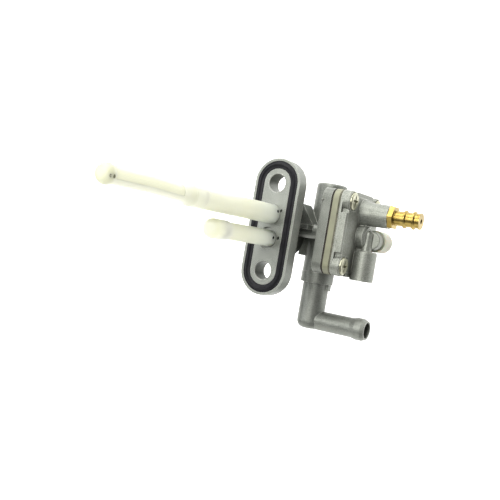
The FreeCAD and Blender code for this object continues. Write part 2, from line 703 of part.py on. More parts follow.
def cover_screws():
    screws = []
    seat = COVER_FACE + " - screw_boss_drop"
    for i, (y, z) in enumerate(stack_points()):
        head = cylinder("ScrewHead%d" % i, "screw_head_radius", "screw_head_height",
                        (seat, y, z), "+X")
        top = value_of(seat + " + screw_head_height")
        crowned = fillet("ScrewCrown%d" % i, head, "screw_head_round",
                         lambda edge: is_circle(edge) and abs(edge.Curve.Center.x - top) < TOUCH)
        shank = cylinder("ScrewShank%d" % i, "screw_radius", "screw_length",
                         (seat, y, z), "-X")
        solid = join("ScrewSolid%d" % i, [crowned, shank])
        recess = cross_recess("ScrewCross%d" % i, "screw_cross_reach", "screw_cross_width",
                              "screw_cross_depth", (seat + " + screw_head_height", y, z),
                              "-X")
        screws.append(cut("Screw%d" % i, solid, recess))
    group = doc.addObject("Part::Compound", "CoverScrews")
    group.Links = screws
    finish(group, "cover_screws")


def vacuum_nipple():
    points = [("nipple_bore_radius", "-nipple_thread_length"),
              ("nipple_thread_radius", "-nipple_thread_length"), ("nipple_thread_radius", "0"),
              ("nipple_body_radius", "0")]
    hex_top = "nipple_hex_height"
    for barb in ("nipple_first_barb", "nipple_second_barb"):
        foot = "%s + %s" % (hex_top, barb)
        points += [("nipple_body_radius", foot), ("nipple_barb_radius", foot),
                   ("nipple_barb_radius", foot + " + nipple_barb_land"),
                   ("nipple_body_radius", foot + " + nipple_barb_land + nipple_barb_slope")]
    end = hex_top + " + nipple_length"
    points += [("nipple_body_radius", end + " - nipple_barb_land"),
               ("nipple_lip_radius", end + " - nipple_barb_land"),
               ("nipple_lip_radius", end), ("nipple_bore_radius", end)]
    at = ("nipple_boss_end_x", "nipple_y", "barrel_z")
    tail = turned("NippleTail", points, at, "+X")
    flats = primitive("Prism", "NippleHex", at, "+X", Height=hex_top,
                      Circumradius="nipple_flats / sqrt(3)")
    flats.Polygon = 6
    solid = join("NippleSolid", [tail, flats])
    bore = cylinder("NippleBore", "nipple_bore_radius", hex_top, at, "+X")
    finish(cut("Nipple", solid, [bore]), "vacuum_nipple")


def blanking_cap():
    start = "stub_face_z - stub_length - stub_neck_length"
    at = ("stub_x", "stub_y", start)
    outer = cylinder("CapOuter", "cap_radius", "cap_length", at, "-Z")
    domed = fillet("CapDomed", outer, "cap_round",
                   lambda edge: is_circle(edge) and edge.Curve.Center.z < value_of(start) - TOUCH)
    bore = cylinder("CapBore", "stub_pin_radius", "stub_pin_length", at, "-Z")
    finish(cut("Cap", domed, [bore]), "blanking_cap")


# Plunger, its seal and its spring

def plunger():
    seat = INNER_DIAPHRAGM + " - fuel_chamber_depth"
    disc_back = "valve_seal_thickness"
    disc_face = "fuel_chamber_depth"
    outer_top = ("fuel_chamber_depth + 2 * diaphragm_thickness + spacer_thickness"
                 " + support_disc_thickness")
    points = [("0", "-stem_tail_length"), ("stem_radius", "-stem_tail_length"),
              ("stem_radius", disc_back), ("valve_disc_radius", disc_back),
              ("valve_disc_radius", disc_face), ("stem_radius", disc_face),
              ("stem_radius", outer_top), ("rivet_head_radius", outer_top),
              ("rivet_head_radius", outer_top + " + rivet_head_height"),
              ("0", outer_top + " + rivet_head_height")]
    finish(turned("Stem", points, (seat,) + STACK_AXIS, "+X"), "valve_plunger")
    rubber = cylinder("ValveSeal", "valve_seal_radius", "valve_seal_thickness",
                      (seat,) + STACK_AXIS, "+X")
    hole = cylinder("ValveSealHole", "stem_radius", "valve_seal_thickness",
                    (seat,) + STACK_AXIS, "+X")
    finish(cut("ValveSealRing", rubber, [hole]), "plunger_seal")
    points = [("stem_radius", "0"), ("support_disc_radius", "0"),
              ("support_disc_radius", "support_disc_thickness"),
              ("spool_radius", "support_disc_thickness"),
              ("spool_radius", "spacer_thickness - support_disc_thickness"),
              ("support_disc_radius", "spacer_thickness - support_disc_thickness"),
              ("support_disc_radius", "spacer_thickness"), ("stem_radius", "spacer_thickness")]
    finish(turned("Spool", points, (SPACER,) + STACK_AXIS, "+X"), "diaphragm_spool")
    disc = cylinder("SupportDisc", "support_disc_radius", "support_disc_thickness",
                    (COVER,) + STACK_AXIS, "+X")
    hole = cylinder("SupportDiscHole", "stem_radius", "support_disc_thickness",
                    (COVER,) + STACK_AXIS, "+X")
    finish(cut("SupportRing", disc, [hole]), "diaphragm_support_disc")


def return_spring():
    """A plain coil between the support disc and the roof of the spring room.

    The round wire is drawn with eight sides, which keeps the hidden coil light.
    """
    start = value_of(COVER + " + support_disc_thickness")
    end = value_of(COVER_FACE + " - cover_top_thickness + spring_room_depth")
    radius = value_of("spring_radius")
    wire = value_of("spring_wire_radius")
    turns = value_of("spring_turns")
    rise = end - start - 2 * wire
    helix = Part.makeHelix(rise / turns, rise, radius)
    corners = [Vector(radius + wire * cos(radians(angle)), 0, wire * sin(radians(angle)))
               for angle in range(0, 361, 45)]
    section = Part.makePolygon(corners)
    coil = Part.Wire(helix.Edges).makePipeShell([section], True, True)
    spring = doc.addObject("Part::Feature", "Spring")
    spring.Shape = coil
    spring.Placement = Placement(Vector(start + wire, value_of("stack_y"), value_of("barrel_z")),
                                 TURNS["+X"])
    finish(spring, "return_spring")


# Selector: port seal, rotor, washer, retainer, lever

def port_seal():
    at = (ROTOR_FLOOR,) + SELECTOR_AXIS
    disc = cylinder("PortSeal", ROTOR_RADIUS, "port_seal_thickness", at, "-X")
    holes = []
    for i, angle in enumerate(("main_port_angle", "reserve_port_angle", "180")):
        holes.append(cylinder("PortSealHole%d" % i, "port_radius", "port_seal_thickness",
                              (ROTOR_FLOOR,
                               "selector_y + port_circle_radius * sin(%s)" % angle,
                               "selector_z + port_circle_radius * cos(%s)" % angle), "-X"))
    finish(cut("PortSealCut", disc, holes), "selector_port_seal")


def rotor():
    front = ROTOR_FRONT
    at = (front,) + SELECTOR_AXIS
    groove_start = "(rotor_thickness - ring_section) / 2"
    shaft_end = front + " - (%s)" % LEVER_FACE + " - shaft_gap"
    points = [("0", "0"), (ROTOR_RADIUS, "0"), (ROTOR_RADIUS, groove_start),
              (ROTOR_RADIUS + " - ring_section", groove_start),
              (ROTOR_RADIUS + " - ring_section", groove_start + " + ring_section"),
              (ROTOR_RADIUS, groove_start + " + ring_section"),
              (ROTOR_RADIUS, "rotor_thickness"), ("shaft_radius", "rotor_thickness"),
              ("shaft_radius", shaft_end), ("0", shaft_end)]
    turned_rotor = turned("Rotor", points, at, "-X")
    kidney_wide = cylinder("KidneyWide", "port_circle_radius + port_radius", "kidney_depth",
                           at, "-X")
    kidney_wide.setExpression("Angle", formula("kidney_angle"))
    kidney_core = cylinder("KidneyCore", "port_circle_radius - port_radius", "kidney_depth",
                           at, "-X")
    kidney = cut("Kidney", kidney_wide, [kidney_core])
    flats = []
    for i, side in enumerate("+-"):
        corner = "selector_y %s (shaft_flat + shaft_radius / 2) - shaft_radius / 2" % side
        flats.append(box("ShaftFlat%d" % i, (LEVER_FACE, corner, "selector_z - shaft_radius"),
                         "lever_thickness", "shaft_radius", "2 * shaft_radius"))
    tapped = cylinder("ShaftTapping", "lever_screw_radius", "lever_screw_length",
                      (LEVER_FACE,) + SELECTOR_AXIS, "+X")
    finish(cut("RotorCut", turned_rotor, [kidney] + flats + [tapped]), "selector_rotor")
    ring = primitive("Torus", "RotorRing",
                     (front + " - rotor_thickness / 2",) + SELECTOR_AXIS, "-X",
                     Radius1=ROTOR_RADIUS + " - ring_section / 2", Radius2="ring_section / 2")
    finish(ring, "rotor_ring")


def spring_washer():
    height = ("rotor_bore_depth - port_seal_thickness - rotor_face_gap - rotor_thickness"
              " - washer_gap")
    rim = "rotor_bore_radius - washer_clearance"
    points = [("washer_inner_radius", "0"), ("washer_inner_radius + washer_sheet", "0"),
              (rim, height + " - washer_sheet"), (rim, height),
              (rim + " - washer_sheet", height),
              ("washer_inner_radius", "washer_sheet")]
    finish(turned("Washer", points, ("drum_face_x",) + SELECTOR_AXIS, "+X"),
           "selector_spring_washer")


def retainer():
    at = ("drum_face_x",) + SELECTOR_AXIS
    disc = cylinder("Retainer", "drum_radius", "retainer_thickness", at, "-X")
    ears = [cylinder("RetainerEar%d" % i, "retainer_ear_radius", "retainer_thickness", spot, "-X")
            for i, spot in enumerate(ear_points("drum_face_x"))]
    plate = join("RetainerSolid", [disc] + ears)
    tools = [cylinder("RetainerBore", "shaft_radius + shaft_gap", "retainer_thickness", at, "-X")]
    screws = []
    for i, spot in enumerate(ear_points(RETAINER_FACE)):
        shank = cylinder("RetainerShank%d" % i, "retainer_screw_radius",
                         "retainer_thickness + retainer_screw_length", spot, "+X")
        head = cone("RetainerHead%d" % i, "retainer_screw_head", "retainer_screw_radius",
                    "retainer_screw_head - retainer_screw_radius", spot, "+X")
        screw = join("RetainerScrewSolid%d" % i, [shank, head])
        tools.append(screw)
        recess = cross_recess("RetainerCross%d" % i, "retainer_screw_radius",
                              "retainer_screw_radius / 3", "retainer_screw_radius / 2", spot, "+X")
        screws.append(cut("RetainerScrew%d" % i, screw, recess))
    finish(cut("RetainerPlate", plate, tools), "selector_retainer")
    group = doc.addObject("Part::Compound", "RetainerScrews")
    group.Links = screws
    finish(group, "retainer_screws")


def lever():
    at = (LEVER_BACK,) + SELECTOR_AXIS
    hub = cylinder("LeverHub", "lever_hub_radius", "lever_thickness", at, "-X")
    tip = cylinder("LeverTip", "lever_tip_radius", "lever_thickness",
                   (LEVER_BACK, "selector_y", "selector_z - lever_reach"), "-X")
    arm = doc.addObject("Part::Wedge", "LeverArm")
    for prop, text in (("Xmin", "-lever_hub_radius"), ("Xmax", "lever_hub_radius"),
                       ("X2min", "-lever_tip_radius"), ("X2max", "lever_tip_radius"),
                       ("Zmin", "0"), ("Zmax", "lever_thickness"),
                       ("Z2min", "0"), ("Z2max", "lever_thickness"),
                       ("Ymin", "0"), ("Ymax", "lever_reach")):
        arm.setExpression(prop, formula(text))
    arm.Placement = Placement(Vector(0, 0, 0), Rotation(Vector(0, 1, 0), Vector(0, 0, -1),
                                                        Vector(-1, 0, 0), "XYZ"))
    for letter, text in zip("xyz", at):
        arm.setExpression("Placement.Base." + letter, formula(text))
    solid = join("LeverSolid", [hub, tip, arm])
    round_hole = cylinder("LeverHoleRound", "shaft_radius", "lever_thickness", at, "-X")
    flat_hole = box("LeverHoleFlats",
                    (LEVER_FACE, "selector_y - shaft_flat", "selector_z - shaft_radius"),
                    "lever_thickness", "2 * shaft_flat", "2 * shaft_radius")
    hole = doc.addObject("Part::Common", "LeverHole")
    hole.Base = round_hole
    hole.Tool = flat_hole
    finish(cut("Lever", solid, [hole]), "selector_lever")
    face = (LEVER_FACE,) + SELECTOR_AXIS
    head = cylinder("LeverScrewHead", "lever_screw_head", "lever_screw_head_height", face, "-X")
    shank = cylinder("LeverScrewShank", "lever_screw_radius", "lever_screw_length", face, "+X")
    screw = join("LeverScrewSolid", [head, shank])
    recess = cross_recess("LeverScrewCross", "lever_screw_radius", "lever_screw_radius / 3",
                          "lever_screw_head_height / 2",
                          (LEVER_FACE + " - lever_screw_head_height",) + SELECTOR_AXIS, "+X")
    finish(cut("LeverScrew", screw, recess), "lever_screw")


valve_body()
flange_seal()
standpipes()
main_strainer()
reserve_strainer()
outlet_elbow()
flat_layer("InnerDiaphragm", INNER_DIAPHRAGM, "diaphragm_thickness", "stem_radius",
           "inner_diaphragm")
flat_layer("Spacer", SPACER, "spacer_thickness", "chamber_radius", "diaphragm_spacer")
flat_layer("OuterDiaphragm", OUTER_DIAPHRAGM, "diaphragm_thickness", "stem_radius",
           "outer_diaphragm")
vacuum_cover()
cover_screws()
vacuum_nipple()
blanking_cap()
plunger()
return_spring()
port_seal()
rotor()
spring_washer()
retainer()
lever()
doc.recompute()

for item in doc.Objects:
    if "Invalid" in item.State or "Error" in item.State:
        raise RuntimeError("%s did not build: %s" % (item.Name, item.State))

os.makedirs("parts", exist_ok=True)
for piece in PARTS:
    if piece.Shape.isNull() or not piece.Shape.isValid():
        raise RuntimeError("%s has a bad shape" % piece.Label)
    piece.Shape.exportStep(os.path.join("parts", piece.Label + ".step"))
    print("%-24s %2d solids %9.2f mm3" % (piece.Label, len(piece.Shape.Solids),
                                          piece.Shape.Volume))
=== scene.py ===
import json
from math import atan2, cos, pi, radians, sin

import bmesh
import bpy
from mathutils import Matrix, Vector

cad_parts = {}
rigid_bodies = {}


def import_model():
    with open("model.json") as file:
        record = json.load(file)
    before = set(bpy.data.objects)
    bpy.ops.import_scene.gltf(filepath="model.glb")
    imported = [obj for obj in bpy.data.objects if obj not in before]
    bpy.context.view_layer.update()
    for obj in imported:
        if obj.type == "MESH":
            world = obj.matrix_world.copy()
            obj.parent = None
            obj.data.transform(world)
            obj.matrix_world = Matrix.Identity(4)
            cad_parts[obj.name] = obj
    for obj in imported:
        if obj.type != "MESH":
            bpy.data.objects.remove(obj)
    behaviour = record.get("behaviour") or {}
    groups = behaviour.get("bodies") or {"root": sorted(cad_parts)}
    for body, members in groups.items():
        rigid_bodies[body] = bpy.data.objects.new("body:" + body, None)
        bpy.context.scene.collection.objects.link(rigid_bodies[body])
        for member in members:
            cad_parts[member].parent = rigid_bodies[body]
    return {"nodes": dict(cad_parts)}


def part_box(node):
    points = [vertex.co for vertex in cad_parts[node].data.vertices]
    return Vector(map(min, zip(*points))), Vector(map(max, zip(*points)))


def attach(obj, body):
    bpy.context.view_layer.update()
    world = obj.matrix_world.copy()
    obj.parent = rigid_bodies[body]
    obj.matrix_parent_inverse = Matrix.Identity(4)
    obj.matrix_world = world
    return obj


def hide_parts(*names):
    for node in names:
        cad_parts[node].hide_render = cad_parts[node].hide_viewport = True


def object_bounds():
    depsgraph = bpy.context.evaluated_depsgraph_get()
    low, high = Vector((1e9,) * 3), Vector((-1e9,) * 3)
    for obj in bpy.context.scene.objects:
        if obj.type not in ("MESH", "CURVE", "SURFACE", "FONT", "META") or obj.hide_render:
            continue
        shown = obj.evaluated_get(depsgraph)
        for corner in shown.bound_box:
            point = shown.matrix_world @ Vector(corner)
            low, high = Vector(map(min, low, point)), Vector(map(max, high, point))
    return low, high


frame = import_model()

# Vacuum operated fuel tap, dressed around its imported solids. Sizes are in millimetres
# here and become metres where a mesh is made.
mm = 0.001
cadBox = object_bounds()
cadNodes = frame["nodes"]
print("frame loaded:", len(cadNodes), "solids")


# helpers for meshes

meshCare = {"weld": 1e-7, "sharpAngle": 38, "roundAngle": 35}  # metres, degrees


def meshPiece(name, corners, faces, smooth=True):
    mesh = bpy.data.meshes.new(name)
    mesh.from_pydata([Vector(c) * mm for c in corners], [], faces)
    mesh.update()
    if smooth:
        mesh.polygons.foreach_set("use_smooth", [True] * len(mesh.polygons))
    piece = bpy.data.objects.new(name, mesh)
    bpy.context.scene.collection.objects.link(piece)
    return piece


def faceOutward(piece):
    work = bmesh.new()
    work.from_mesh(piece.data)
    bmesh.ops.remove_doubles(work, verts=work.verts, dist=meshCare["weld"])
    bmesh.ops.recalc_face_normals(work, faces=work.faces)
    work.to_mesh(piece.data)
    work.free()
    piece.data.set_sharp_from_angle(angle=radians(meshCare["sharpAngle"]))
    return piece


def roundEdges(piece, width, segments=3, angle=meshCare["roundAngle"]):
    bevel = piece.modifiers.new("softEdges", "BEVEL")
    bevel.width = width * mm
    bevel.segments = segments
    bevel.limit_method = "ANGLE"
    bevel.angle_limit = radians(angle)
    bevel.harden_normals = True
    return piece


def thicken(piece, depth):
    # inward from the drawn skin
    wall = piece.modifiers.new("wall", "SOLIDIFY")
    wall.thickness = depth * mm
    wall.offset = -1
    return wall


def loopSurface(name, loops, closedAcross=False):
    # joins closed loops of equal length into one skin
    count = len(loops[0])
    corners = [point for loop in loops for point in loop]
    faces = []
    rows = len(loops) if closedAcross else len(loops) - 1
    for row in range(rows):
        here = row * count
        there = ((row + 1) % len(loops)) * count
        for i in range(count):
            j = (i + 1) % count
            faces.append((here + i, here + j, there + j, there + i))
    return faceOutward(meshPiece(name, corners, faces))


def boxPiece(name, corners):
    # corners are the four of one face in turn, then the four across from them
    sides = [(0, 1, 2, 3), (7, 6, 5, 4), (0, 4, 5, 1), (1, 5, 6, 2), (2, 6, 7, 3), (3, 7, 4, 0)]
    return faceOutward(meshPiece(name, corners, sides))


def turnedSkin(name, profile, centre, axis, steps=64):
    # profile is (radius, height along the axis); the skin closes on itself
    along = Vector(axis).normalized()
    side = along.orthogonal().normalized()
    up = along.cross(side)
    loops = []
    for radius, height in profile:
        loops.append([Vector(centre) + along * height +
                      (side * cos(2 * pi * k / steps) + up * sin(2 * pi * k / steps)) * radius
                      for k in range(steps)])
    return loopSurface(name, loops, closedAcross=True)


def finishPiece(piece, material, body="body", replaced=None):
    piece.data.materials.append(material)
    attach(piece, body)
    if replaced:
        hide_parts(replaced)
    return piece


# helpers for materials

waveScale = 0.314  # the wave texture's Scale for one wave in each metre
bevelSamples = 6
edgeLean = 0.75  # the rounded normal counts as a full edge from this cosine on
noiseSpan = (0.3, 0.7)  # where nearly all values of a noise texture lie
noiseCore = (0.35, 0.65)  # the same, cut closer for more contrast


def startMaterial(name):
    material = bpy.data.materials.new(name)
    material.use_nodes = True
    return material, material.node_tree.nodes["Principled BSDF"]


def addNode(material, kind, settings=None, **sockets):
    node = material.node_tree.nodes.new("ShaderNode" + kind)
    for key, value in (settings or {}).items():
        setattr(node, key, value)
    for key, value in sockets.items():
        node.inputs[key].default_value = value
    return node


def wire(material, source, target):
    material.node_tree.links.new(source, target)


def objectPlace(material):
    return addNode(material, "TexCoord").outputs["Object"]


def grainNoise(material, place, size, detail=3.0, roughness=0.55):
    # size is the width of one grain in millimetres
    noise = addNode(material, "TexNoise", Scale=1 / (size * mm), Detail=detail,
                    Roughness=roughness)
    wire(material, place, noise.inputs["Vector"])
    return noise.outputs["Fac"]


def spread(material, value, fromLow, fromHigh, toLow, toHigh):
    ranged = addNode(material, "MapRange")
    for key, number in (("From Min", fromLow), ("From Max", fromHigh),
                        ("To Min", toLow), ("To Max", toHigh)):
        ranged.inputs[key].default_value = number
    wire(material, value, ranged.inputs["Value"])
    return ranged.outputs["Result"]


def mixColours(material, factor, first, second):
    # the node's inputs 6 and 7 and its output 2 are the colour ones
    mixer = addNode(material, "Mix", {"data_type": "RGBA"})
    wire(material, factor, mixer.inputs["Factor"])
    for socket, value in ((mixer.inputs[6], first), (mixer.inputs[7], second)):
        if isinstance(value, bpy.types.NodeSocket):
            wire(material, value, socket)
        else:
            socket.default_value = (*value, 1)
    return mixer.outputs[2]


def roundedNormal(material, radius):
    bevel = addNode(material, "Bevel", {"samples": bevelSamples}, Radius=radius * mm)
    return bevel.outputs["Normal"]


def edgeShare(material, rounded, strength):
    # how far the rounded normal leans from the flat one: 0 on a face, up to 1 on an edge; it masks
    # the lighter edges, partly rubbed wear and partly a painted highlight
    flat = addNode(material, "NewGeometry").outputs["Normal"]
    product = addNode(material, "VectorMath", {"operation": "DOT_PRODUCT"})
    wire(material, rounded, product.inputs[0])
    wire(material, flat, product.inputs[1])
    return spread(material, product.outputs["Value"], 1.0, edgeLean, 0.0, strength)


def mathStep(material, operation, first, second):
    step = addNode(material, "Math", {"operation": operation})
    wire(material, first, step.inputs[0])
    wire(material, second, step.inputs[1])
    return step.outputs["Value"]


def placeAlong(material, place, direction):
    parts = addNode(material, "SeparateXYZ")
    wire(material, place, parts.inputs["Vector"])
    return parts.outputs[direction]


def waveLines(material, place, direction, pitch):
    wave = addNode(material, "TexWave", {"bands_direction": direction, "wave_profile": "SIN"},
                   Scale=waveScale / (pitch * mm), Distortion=0.0)
    wire(material, place, wave.inputs["Vector"])
    return wave.outputs["Fac"]


def variedRoughness(material, shader, grain, look):
    rough = spread(material, grain, *noiseSpan, look["roughLow"], look["roughHigh"])
    wire(material, rough, shader.inputs["Roughness"])


def bumpFrom(material, shader, height, depth, normal=None):
    bump = addNode(material, "Bump", Distance=depth * mm, Strength=1.0)
    wire(material, height, bump.inputs["Height"])
    if normal is not None:
        wire(material, normal, bump.inputs["Normal"])
    wire(material, bump.outputs["Normal"], shader.inputs["Normal"])


# cast aluminium: fine grain, scattered pits and lighter edges, partly rubbed wear and partly a
# painted highlight

def castMetal(name, look):
    material, shader = startMaterial(name)
    place = objectPlace(material)
    fine = grainNoise(material, place, look["grain"])
    broad = grainNoise(material, place, look["cloud"], detail=2.0)
    pits = addNode(material, "TexVoronoi", Scale=1 / (look["pitSpacing"] * mm))
    wire(material, place, pits.inputs["Vector"])
    pitMask = spread(material, pits.outputs["Distance"], *look["pitSpan"], 1.0, 0.0)
    rounded = roundedNormal(material, look["edgeRadius"])
    # lighter edges: partly rubbed wear, partly a painted highlight on every edge
    edge = edgeShare(material, rounded, look["edgeLight"])
    cloudShare = spread(material, broad, *noiseSpan, 0, 1)
    tone = mixColours(material, cloudShare, look["shade"], look["colour"])
    grainShare = spread(material, fine, *noiseCore, 0, look["grainContrast"])
    tone = mixColours(material, grainShare, tone, look["bright"])
    pitShare = spread(material, pitMask, 0, 1, 0, look["pitDark"])
    tone = mixColours(material, pitShare, tone, look["shade"])
    pitDepth = spread(material, pitMask, 0, 1, 0, look["pitDepth"])
    relief = mathStep(material, "SUBTRACT", fine, pitDepth)
    if "mottledFrom" in look:
        # blotches lie on one flat face only, between two planes across X
        along = placeAlong(material, place, "X")
        start, stop, blend = look["mottledFrom"], look["mottledTo"], look["mottleBlend"]
        onFace = spread(material, along, start * mm, (start + blend) * mm, 0, 1)
        offBosses = spread(material, along, stop * mm, (stop + blend) * mm, 1, 0)
        blotches = grainNoise(material, place, look["mottle"], detail=4.0, roughness=0.65)
        faceShare = mathStep(material, "MULTIPLY", onFace, offBosses)
        blotchShare = spread(material, blotches, *look["mottleSpan"], look["mottleDark"], 0)
        dark = mathStep(material, "MULTIPLY", faceShare, blotchShare)
        tone = mixColours(material, dark, tone, look["mottleShade"])
        relief = mathStep(material, "SUBTRACT", relief, dark)
    tone = mixColours(material, edge, tone, look["edgeColour"])
    wire(material, tone, shader.inputs["Base Color"])
    variedRoughness(material, shader, fine, look)
    shader.inputs["Metallic"].default_value = look["metallic"]
    bumpFrom(material, shader, relief, look["grainHeight"], rounded)
    return material


bodyCasting = {
    "colour": (0.185, 0.193, 0.172), "shade": (0.12, 0.127, 0.112), "bright": (0.30, 0.31, 0.28),
    "edgeColour": (0.60, 0.61, 0.56), "edgeLight": 1.0, "edgeRadius": 0.32,
    "grain": 0.34, "grainContrast": 0.5, "grainHeight": 0.04, "cloud": 7.0,
    "pitSpacing": 1.1, "pitSpan": (0.05, 0.28), "pitDark": 0.35, "pitDepth": 0.6,
    "roughLow": 0.40, "roughHigh": 0.55, "metallic": 0.6,
}
coverCasting = dict(bodyCasting, colour=(0.215, 0.225, 0.196), shade=(0.145, 0.153, 0.133),
                    bright=(0.36, 0.37, 0.33), edgeColour=(0.68, 0.69, 0.62), edgeRadius=0.38,
                    grain=0.42, grainContrast=0.65, grainHeight=0.055,
                    mottledFrom=23.95, mottledTo=24.15, mottleBlend=0.1, mottle=0.9,
                    mottleSpan=(0.42, 0.58), mottleDark=0.5, mottleShade=(0.17, 0.175, 0.145))
castBody = castMetal("castBody", bodyCasting)
castCover = castMetal("castCover", coverCasting)


# natural nylon of the standpipes and strainers: milky, cooler near the flange, with a painted
# shade darkening the strainer's end

nylonLook = {
    "far": (0.60, 0.60, 0.445), "near": (0.56, 0.595, 0.51), "coolBelow": 1.0, "warmAbove": 24.0,
    "cloud": 9.0, "cloudShare": 0.15, "milky": (0.65, 0.66, 0.54),
    "flow": 1.1, "flowDepth": 0.02, "roughLow": 0.30, "roughHigh": 0.42,
    "depth": 4.0, "depthColour": (1.0, 0.98, 0.85), "depthShare": 0.85,
    # tip: painted shade that darkens the strainer's end, which gets the strongest lamp light
    "tip": (0.49, 0.49, 0.35), "tipFrom": 96.4, "tipTo": 98.6, "ior": 1.5, "edgeRadius": 0.25,
}


def nylonPlastic(name, look):
    material, shader = startMaterial(name)
    place = objectPlace(material)
    along = placeAlong(material, place, "Z")
    warmth = spread(material, along, look["coolBelow"] * mm, look["warmAbove"] * mm, 0, 1)
    tone = mixColours(material, warmth, look["near"], look["far"])
    clouds = grainNoise(material, place, look["cloud"], detail=2.0)
    cloudShare = spread(material, clouds, *noiseSpan, 0, look["cloudShare"])
    tone = mixColours(material, cloudShare, tone, look["milky"])
    # painted shade: the strainer's end is darkened to hold back the stronger light it gets
    tipShadeShare = spread(material, along, look["tipFrom"] * mm, look["tipTo"] * mm, 0, 1)
    tone = mixColours(material, tipShadeShare, tone, look["tip"])
    wire(material, tone, shader.inputs["Base Color"])
    flow = grainNoise(material, place, look["flow"], detail=2.0)
    variedRoughness(material, shader, flow, look)
    shader.inputs["Subsurface Weight"].default_value = look["depthShare"]
    shader.inputs["Subsurface Scale"].default_value = look["depth"] * mm
    shader.inputs["Subsurface Radius"].default_value = look["depthColour"]
    shader.inputs["IOR"].default_value = look["ior"]
    rounded = roundedNormal(material, look["edgeRadius"])
    bumpFrom(material, shader, flow, look["flowDepth"], rounded)
    return material


nylon = nylonPlastic("nylon", nylonLook)


# woven gauze behind the strainer's windows

gauzeLook = {
    "thread": (0.69, 0.69, 0.515), "gap": (0.62, 0.62, 0.45), "pitch": 0.42, "depth": 0.05,
    "threadSpan": (0.3, 0.9), "rough": 0.6,
}


def wovenGauze(name, look):
    material, shader = startMaterial(name)
    place = objectPlace(material)
    around = waveLines(material, place, "Y", look["pitch"])
    lengthwise = waveLines(material, place, "Z", look["pitch"])
    weave = mathStep(material, "MAXIMUM", around, lengthwise)
    threadShare = spread(material, weave, *look["threadSpan"], 0, 1)
    tone = mixColours(material, threadShare, look["gap"], look["thread"])
    wire(material, tone, shader.inputs["Base Color"])
    shader.inputs["Roughness"].default_value = look["rough"]
    bumpFrom(material, shader, weave, look["depth"])
    return material


gauze = wovenGauze("gauze", gauzeLook)


# rubber and plain moulded plastics share one recipe

def mouldedFinish(name, look):
    material, shader = startMaterial(name)
    place = objectPlace(material)
    fine = grainNoise(material, place, look["grain"])
    broad = grainNoise(material, place, look["cloud"], detail=2.0)
    rounded = roundedNormal(material, look["edgeRadius"])
    cloudShare = spread(material, broad, *noiseSpan, 0, 1)
    tone = mixColours(material, cloudShare, look["shade"], look["colour"])
    # lighter edges: partly rubbed wear, partly a painted highlight on every edge
    edge = edgeShare(material, rounded, look["edgeLight"])
    tone = mixColours(material, edge, tone, look["edgeColour"])
    wire(material, tone, shader.inputs["Base Color"])
    variedRoughness(material, shader, fine, look)
    shader.inputs["Subsurface Weight"].default_value = look["depthShare"]
    shader.inputs["Subsurface Scale"].default_value = look["depth"] * mm
    shader.inputs["Specular IOR Level"].default_value = look["gloss"]
    bumpFrom(material, shader, fine, look["grainHeight"], rounded)
    return material


sealRubberLook = {
    "colour": (0.015, 0.015, 0.017), "shade": (0.009, 0.009, 0.011),
    "edgeColour": (0.05, 0.05, 0.055), "edgeLight": 0.5, "edgeRadius": 0.15,
    "grain": 0.25, "cloud": 4.0, "grainHeight": 0.012, "roughLow": 0.45, "roughHigh": 0.6,
    "gloss": 0.14, "depthShare": 0.0, "depth": 1.5,
}
outerEdgeLook = dict(sealRubberLook, colour=(0.15, 0.145, 0.11), shade=(0.07, 0.07, 0.05),
                     grain=0.5, grainHeight=0.03, roughLow=0.6, roughHigh=0.8)
diaphragmLook = dict(sealRubberLook, colour=(0.045, 0.04, 0.033), shade=(0.02, 0.018, 0.015),
                     grain=0.12, grainHeight=0.03, roughLow=0.6, roughHigh=0.8)
spacerLook = {
    "colour": (0.25, 0.25, 0.165), "shade": (0.20, 0.20, 0.135),
    "edgeColour": (0.36, 0.355, 0.25), "edgeLight": 0.6, "edgeRadius": 0.2,
    "grain": 0.3, "cloud": 5.0, "grainHeight": 0.02, "roughLow": 0.42, "roughHigh": 0.58,
    "gloss": 0.5, "depthShare": 0.0, "depth": 1.5,
}
capLook = dict(spacerLook, colour=(0.40, 0.405, 0.30), shade=(0.34, 0.345, 0.255),
               edgeColour=(0.56, 0.57, 0.44), grain=0.5, grainHeight=0.012, roughLow=0.4,
               roughHigh=0.5, depthShare=0.3)
leverLook = dict(sealRubberLook, colour=(0.028, 0.028, 0.030), shade=(0.022, 0.022, 0.024),
                 edgeColour=(0.08, 0.08, 0.085), grain=0.45, grainHeight=0.03, edgeRadius=0.3,
                 roughLow=0.38, roughHigh=0.55)
sealRubber = mouldedFinish("sealRubber", sealRubberLook)
diaphragmRubber = mouldedFinish("diaphragmRubber", diaphragmLook)
clothEdge = mouldedFinish("clothEdge", outerEdgeLook)
spacerPlastic = mouldedFinish("spacerPlastic", spacerLook)
creamCap = mouldedFinish("creamCap", capLook)
leverPlastic = mouldedFinish("leverPlastic", leverLook)


# bright metals: plated screws, turned brass, plain steel

def brightMetal(name, look):
    material, shader = startMaterial(name)
    place = objectPlace(material)
    fine = grainNoise(material, place, look["grain"])
    broad = grainNoise(material, place, look["cloud"], detail=2.0)
    rounded = roundedNormal(material, look["edgeRadius"])
    cloudShare = spread(material, broad, *noiseCore, 0, 1)
    tone = mixColours(material, cloudShare, look["shade"], look["colour"])
    # lighter edges: partly rubbed wear, partly a painted highlight on every edge
    edge = edgeShare(material, rounded, look["edgeLight"])
    tone = mixColours(material, edge, tone, look["edgeColour"])
    wire(material, tone, shader.inputs["Base Color"])
    variedRoughness(material, shader, fine, look)
    shader.inputs["Metallic"].default_value = look["metallic"]
    relief = waveLines(material, place, "X", look["toolLines"]) if "toolLines" in look else fine
    bumpFrom(material, shader, relief, look["grainHeight"], rounded)
    return material


